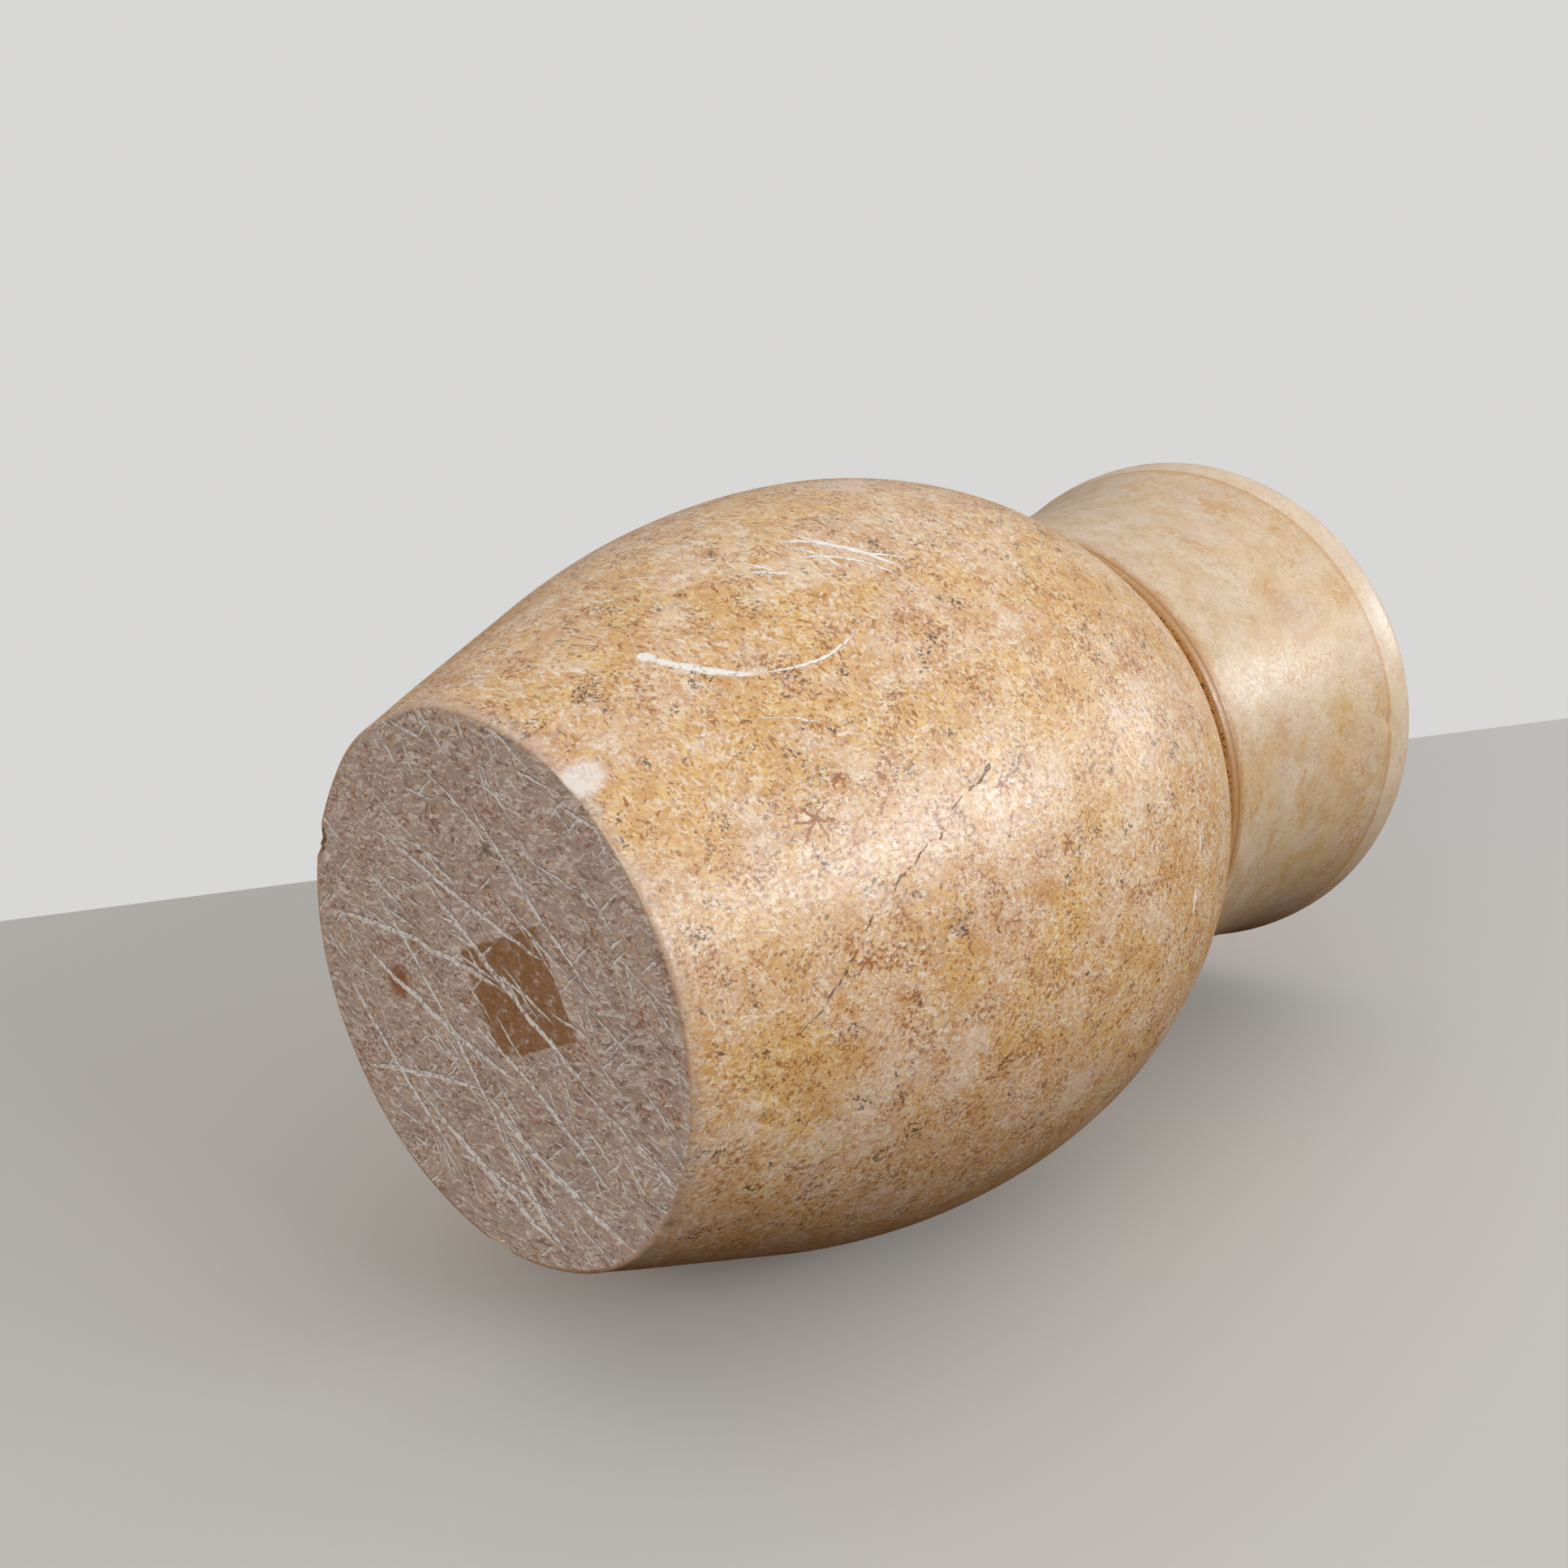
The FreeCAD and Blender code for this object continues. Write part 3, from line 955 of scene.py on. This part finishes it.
def outside_marks(nodes, place, colour):
    """Draws the scratches, cracks and rusty stars; gives the colour and what stands out of it."""
    flat = flat_outside(nodes, place)
    ragged = swirled(nodes, swirled(nodes, flat, 0.9, 0.5), 4.0, 1.2)
    crumbs = nodes.steps(nodes.noise(place, 1.8, 3.0, 0.7), 0.28, 0.42)
    white = nodes.math("MULTIPLY", strokes(nodes, ragged, placed(WHITE_SCRATCHES)), crumbs)
    wandering = swirled(nodes, swirled(nodes, flat, 1.2, 0.7), 5.0, 3.0)
    cracks = strokes(nodes, wandering, placed(DARK_CRACKS))
    broken = nodes.steps(nodes.noise(place, 0.5, 3.0, 0.6), 0.42, 0.56)
    cracks = nodes.math("MULTIPLY", cracks, broken)
    stars = strokes(nodes, swirled(nodes, flat, 1.1, 1.3), star_strokes(RUST_STARS))
    fine = nodes.math(
        "MAXIMUM",
        random_scratches(nodes, ragged, 25, 8.0, 0.30, 0.03, 3.0),
        random_scratches(nodes, ragged, -60, 6.0, 0.30, 0.03, 41.0),
    )
    colour = tinted(nodes, colour, fine, 0.35, WHITE)
    colour = tinted(nodes, colour, stars, 0.90, STAR_RUST)
    colour = tinted(nodes, colour, cracks, 0.85, DARK)
    bruise = nodes.vector("SUBTRACT", flat, (*unrolled(BASE_BRUISE), 0.0))
    bruise = nodes.math("ADD", nodes.length(bruise), nodes.noise(place, 0.7, 3.0))
    bruise = nodes.steps(bruise, 4.6, 2.2)
    white = nodes.math("MAXIMUM", white, nodes.math("MULTIPLY", bruise, 0.7))
    return tinted(nodes, colour, white, 0.95, WHITE), white, cracks


def collar_colour(nodes, place, height, colour, clouds):
    """Turns the belly's colour into the paler, smoother one of the collar, above the neck."""
    soft_patches = nodes.noise(place, 0.16, 5.0, 0.6)
    tan = nodes.steps(soft_patches, 0.38, 0.66)
    smooth_stone = nodes.mix(tan, (*COLLAR_PALE, 1), (*COLLAR_TAN, 1))
    smooth_stone = nodes.mix(0.28, smooth_stone, clouds)
    smooth_stone = nodes.mix(0.22, smooth_stone, colour)
    on_collar = nodes.steps(height, NECK_HEIGHT, NECK_HEIGHT + 3.0)
    colour = nodes.mix(nodes.math("MULTIPLY", on_collar, 0.9), colour, smooth_stone)
    dots = nodes.math("MULTIPLY", on_collar, speck_mask(nodes, place, 9.0, 1.1, 12.0, 0.56))
    return tinted(nodes, colour, dots, 0.6, OCHRE)


def collar_edges(nodes, place, height, colour):
    """Brown dirt at the collar's foot, a thin ochre line under the lip and a paler lip."""
    foot_top = NECK_HEIGHT + GROOVE_WIDTH + BEAD_WIDTH
    ragged_height = nodes.math("MULTIPLY_ADD", nodes.noise(place, 0.7, 4.0, 0.7), 7.0, height)
    above = nodes.steps(ragged_height, foot_top + 7.0, foot_top + 4.0)
    foot_dirt = nodes.math("MULTIPLY", above, nodes.steps(height, NECK_HEIGHT, NECK_HEIGHT + 1.0))
    colour = tinted(nodes, colour, foot_dirt, 0.85, COLLAR_FOOT)
    edge_low = nodes.steps(height, LIP_EDGE_HEIGHT - 1.6, LIP_EDGE_HEIGHT - 0.1)
    edge_high = nodes.steps(height, LIP_EDGE_HEIGHT + 0.3, LIP_EDGE_HEIGHT)
    colour = tinted(nodes, colour, nodes.math("MULTIPLY", edge_low, edge_high), 0.45, OCHRE)
    on_lip = nodes.steps(height, LIP_EDGE_HEIGHT, LIP_EDGE_HEIGHT + 0.4)
    return tinted(nodes, colour, on_lip, 0.30, PALE)


def polished_stone():
    """The outside of the mortar: flaky on the belly, paler and smoother on the collar, with painted
    shade browning its +Y side.
    """
    nodes = Nodes("polished_stone")
    place = nodes.place_mm()
    height = nodes.part(place, "Z")
    colour, clouds = stone_colour(nodes, place)
    colour = collar_colour(nodes, place, height, colour, clouds)
    colour = collar_edges(nodes, place, height, colour)
    ragged_height = nodes.math("MULTIPLY_ADD", nodes.noise(place, 0.35, 4.0, 0.7), -6.0, height)
    worn_edge = nodes.steps(ragged_height, -0.4, -3.2)
    colour = tinted(nodes, colour, worn_edge, 0.55, EDGE_MAUVE)
    # Painted shade: the +Y side, which lies down for the main camera, is tinted browner as if lit by
    # brown light bounced from a table below
    painted_underside_shade = nodes.steps(nodes.part(place, "Y"), 12.0, 60.0)
    colour = tinted(nodes, colour, painted_underside_shade, 0.45, PAINTED_SHADE_BROWN)
    colour, white, cracks = outside_marks(nodes, place, colour)
    nodes.put(nodes.shader.inputs["Base Color"], colour)

    nodes.shader.inputs["Specular IOR Level"].default_value = 0.85
    grain = nodes.noise(place, 1.3, 3.0)
    gloss = nodes.steps(grain, 0.3, 0.7, 0.30, 0.44)
    nodes.put(nodes.shader.inputs["Roughness"], nodes.math("MULTIPLY_ADD", white, 0.3, gloss))
    cut = nodes.math("MAXIMUM", white, cracks)
    relief = nodes.math("SUBTRACT", nodes.math("MULTIPLY", grain, 0.35), cut)
    nodes.put(nodes.shader.inputs["Normal"], nodes.bump(relief, 0.00012))
    return nodes.material


def label_mask(nodes, place):
    """The worn rectangle where a label was."""
    turn = math.radians(LABEL_MARK["degrees"])
    centre = (*LABEL_MARK["centre"], 0.0)
    ahead = Vector((math.cos(turn), math.sin(turn), 0.0))
    left = Vector((-ahead.y, ahead.x, 0.0))
    sides = []
    for axis, size in zip((ahead, left), LABEL_MARK["size"]):
        aside = nodes.math("ABSOLUTE", nodes.along(place, axis, centre))
        sides.append(nodes.steps(aside, size / 2 + 0.3, size / 2 - 0.3))
    worn = nodes.steps(nodes.noise(place, 0.5, 4.0, 0.75), 0.34, 0.50, 0.35, 1.0)
    return nodes.math("MULTIPLY", nodes.math("MULTIPLY", *sides), worn)


def base_scratches(nodes, place):
    """Drawn and random scratches, patchy like chalk."""
    ragged = swirled(nodes, swirled(nodes, place, 1.0, 0.45), 6.0, 1.5)
    total = strokes(nodes, ragged, BASE_SCRATCHES)
    for scratches in BASE_RANDOM_SCRATCHES:
        more = random_scratches(nodes, ragged, *scratches)
        total = nodes.math("MAXIMUM", total, nodes.math("MULTIPLY", more, 0.9))
    patchy = nodes.steps(nodes.noise(place, 1.1, 4.0, 0.75), 0.36, 0.50, 0.25, 1.0)
    return nodes.math("MULTIPLY", total, patchy)


def ground_base():
    """The matt ground base: mauve-brown, scratched white, with the mark of an old label."""
    nodes = Nodes("ground_base")
    place = nodes.place_mm()
    flecks = flake_colours(nodes, place, BASE_FLAKES)
    wide = nodes.steps(nodes.noise(place, 0.08, 4.0, 0.6), 0.40, 0.62)
    ground = nodes.mix(wide, (*BASE_MAUVE, 1), (*BASE_TAN, 1))
    colour = nodes.mix(0.66, ground, flecks)
    colour = tinted(nodes, colour, streak_mask(nodes, place, 0.60, 0.59), 0.8, BASE_THREAD)
    colour = tinted(nodes, colour, speck_mask(nodes, place, 5.0, 0.6, 55.0, 0.56), 0.8, RUST)
    label = label_mask(nodes, swirled(nodes, place, 2.0, 0.6))
    colour = tinted(nodes, colour, label, 0.85, LABEL_BROWN)
    spot = nodes.vector("SUBTRACT", place, (*BASE_SPOT, 0.0))
    spot = nodes.math("MULTIPLY_ADD", nodes.noise(place, 1.2, 3.0, 0.8), 4.0, nodes.length(spot))
    colour = tinted(nodes, colour, nodes.steps(spot, 5.6, 3.6), 0.85, RUST)

    scratches = base_scratches(nodes, place)
    colour = tinted(nodes, colour, scratches, 1.0, BASE_SCRATCH)
    nodes.put(nodes.shader.inputs["Base Color"], colour)
    dust = nodes.noise(place, 2.4, 4.0, 0.7)
    nodes.put(nodes.shader.inputs["Roughness"], nodes.steps(dust, 0.3, 0.7, 0.72, 0.9))
    nodes.shader.inputs["Specular IOR Level"].default_value = 0.3
    relief = nodes.math("SUBTRACT", nodes.math("MULTIPLY", dust, 0.7), scratches)
    nodes.put(nodes.shader.inputs["Normal"], nodes.bump(relief, 0.00022))
    return nodes.material


def groove_stone():
    """The unpolished wall of the neck groove, brown with dirt and polish."""
    nodes = Nodes("groove_stone")
    place = nodes.place_mm()
    dirt = nodes.noise(place, 0.9, 4.0, 0.7)
    colour = nodes.ramp(dirt, GROOVE_DIRT)
    specks = speck_mask(nodes, place, 2.0, 0.5, 12.0, 0.52)
    nodes.put(nodes.shader.inputs["Base Color"], nodes.mix(specks, colour, (*DARK, 1)))
    nodes.shader.inputs["Roughness"].default_value = 0.85
    nodes.put(nodes.shader.inputs["Normal"], nodes.bump(dirt, 0.0004))
    return nodes.material


def stone_powder(nodes, place, scale, colours):
    """The pale dusty look of ground stone, between two colours."""
    dark, pale = colours
    return nodes.mix(nodes.noise(place, scale, 4.0), (*dark, 1), (*pale, 1))


def bore_stone():
    """The inside: polished only near the lip, ground pale and matt lower down."""
    nodes = Nodes("bore_stone")
    place = nodes.place_mm()
    colour, _ = stone_colour(nodes, place)
    height = nodes.part(place, "Z")
    worn = nodes.steps(nodes.math("MULTIPLY_ADD", nodes.noise(place, 0.12, 3.0), 22.0, height),
                       THROAT_HEIGHT + 10.0, BOWL_RADIUS + FLOOR_THICKNESS)
    powder = stone_powder(nodes, place, 1.6, BORE_POWDER)
    colour = nodes.mix(nodes.math("MULTIPLY", worn, 0.75), colour, powder)
    rings = nodes.noise(nodes.mapped(place, scale=(0.02, 0.02, 1.6)), 1.0, 3.0)
    nodes.put(nodes.shader.inputs["Base Color"], colour)
    nodes.put(nodes.shader.inputs["Roughness"], nodes.math("MULTIPLY_ADD", worn, 0.35, 0.45))
    nodes.put(nodes.shader.inputs["Normal"], nodes.bump(rings, 0.00025))
    return nodes.material


def pestle_stone(place_matrix):
    """The pestle: polished handle, ground matt and pale round the head."""
    nodes = Nodes("pestle_stone")
    place = nodes.place_mm()
    colour, _ = stone_colour(nodes, nodes.mapped(place, place=(140, -60, 30)))
    axis = place_matrix.to_3x3() @ Vector((0, 0, 1))
    foot = place_matrix.translation / MM
    along = nodes.along(place, axis, foot)
    along = nodes.math("MULTIPLY_ADD", nodes.noise(place, 0.15, 3.0), 16.0, along)
    worn = nodes.steps(along, 52.0, 18.0)
    powder = stone_powder(nodes, place, 1.8, HEAD_POWDER)
    colour = nodes.mix(nodes.math("MULTIPLY", worn, 0.75), colour, powder)
    nodes.put(nodes.shader.inputs["Base Color"], colour)
    grain = nodes.noise(place, 1.3, 3.0)
    gloss = nodes.steps(grain, 0.3, 0.7, 0.30, 0.44)
    nodes.put(nodes.shader.inputs["Roughness"], nodes.math("MULTIPLY_ADD", worn, 0.38, gloss))
    nodes.put(nodes.shader.inputs["Normal"], nodes.bump(grain, 0.00006))
    return nodes.material


make_camera()
make_floors()
make_world()
make_lamps()
make_mortar()
make_pestle()
bpy.context.scene.view_settings.view_transform = "Standard"
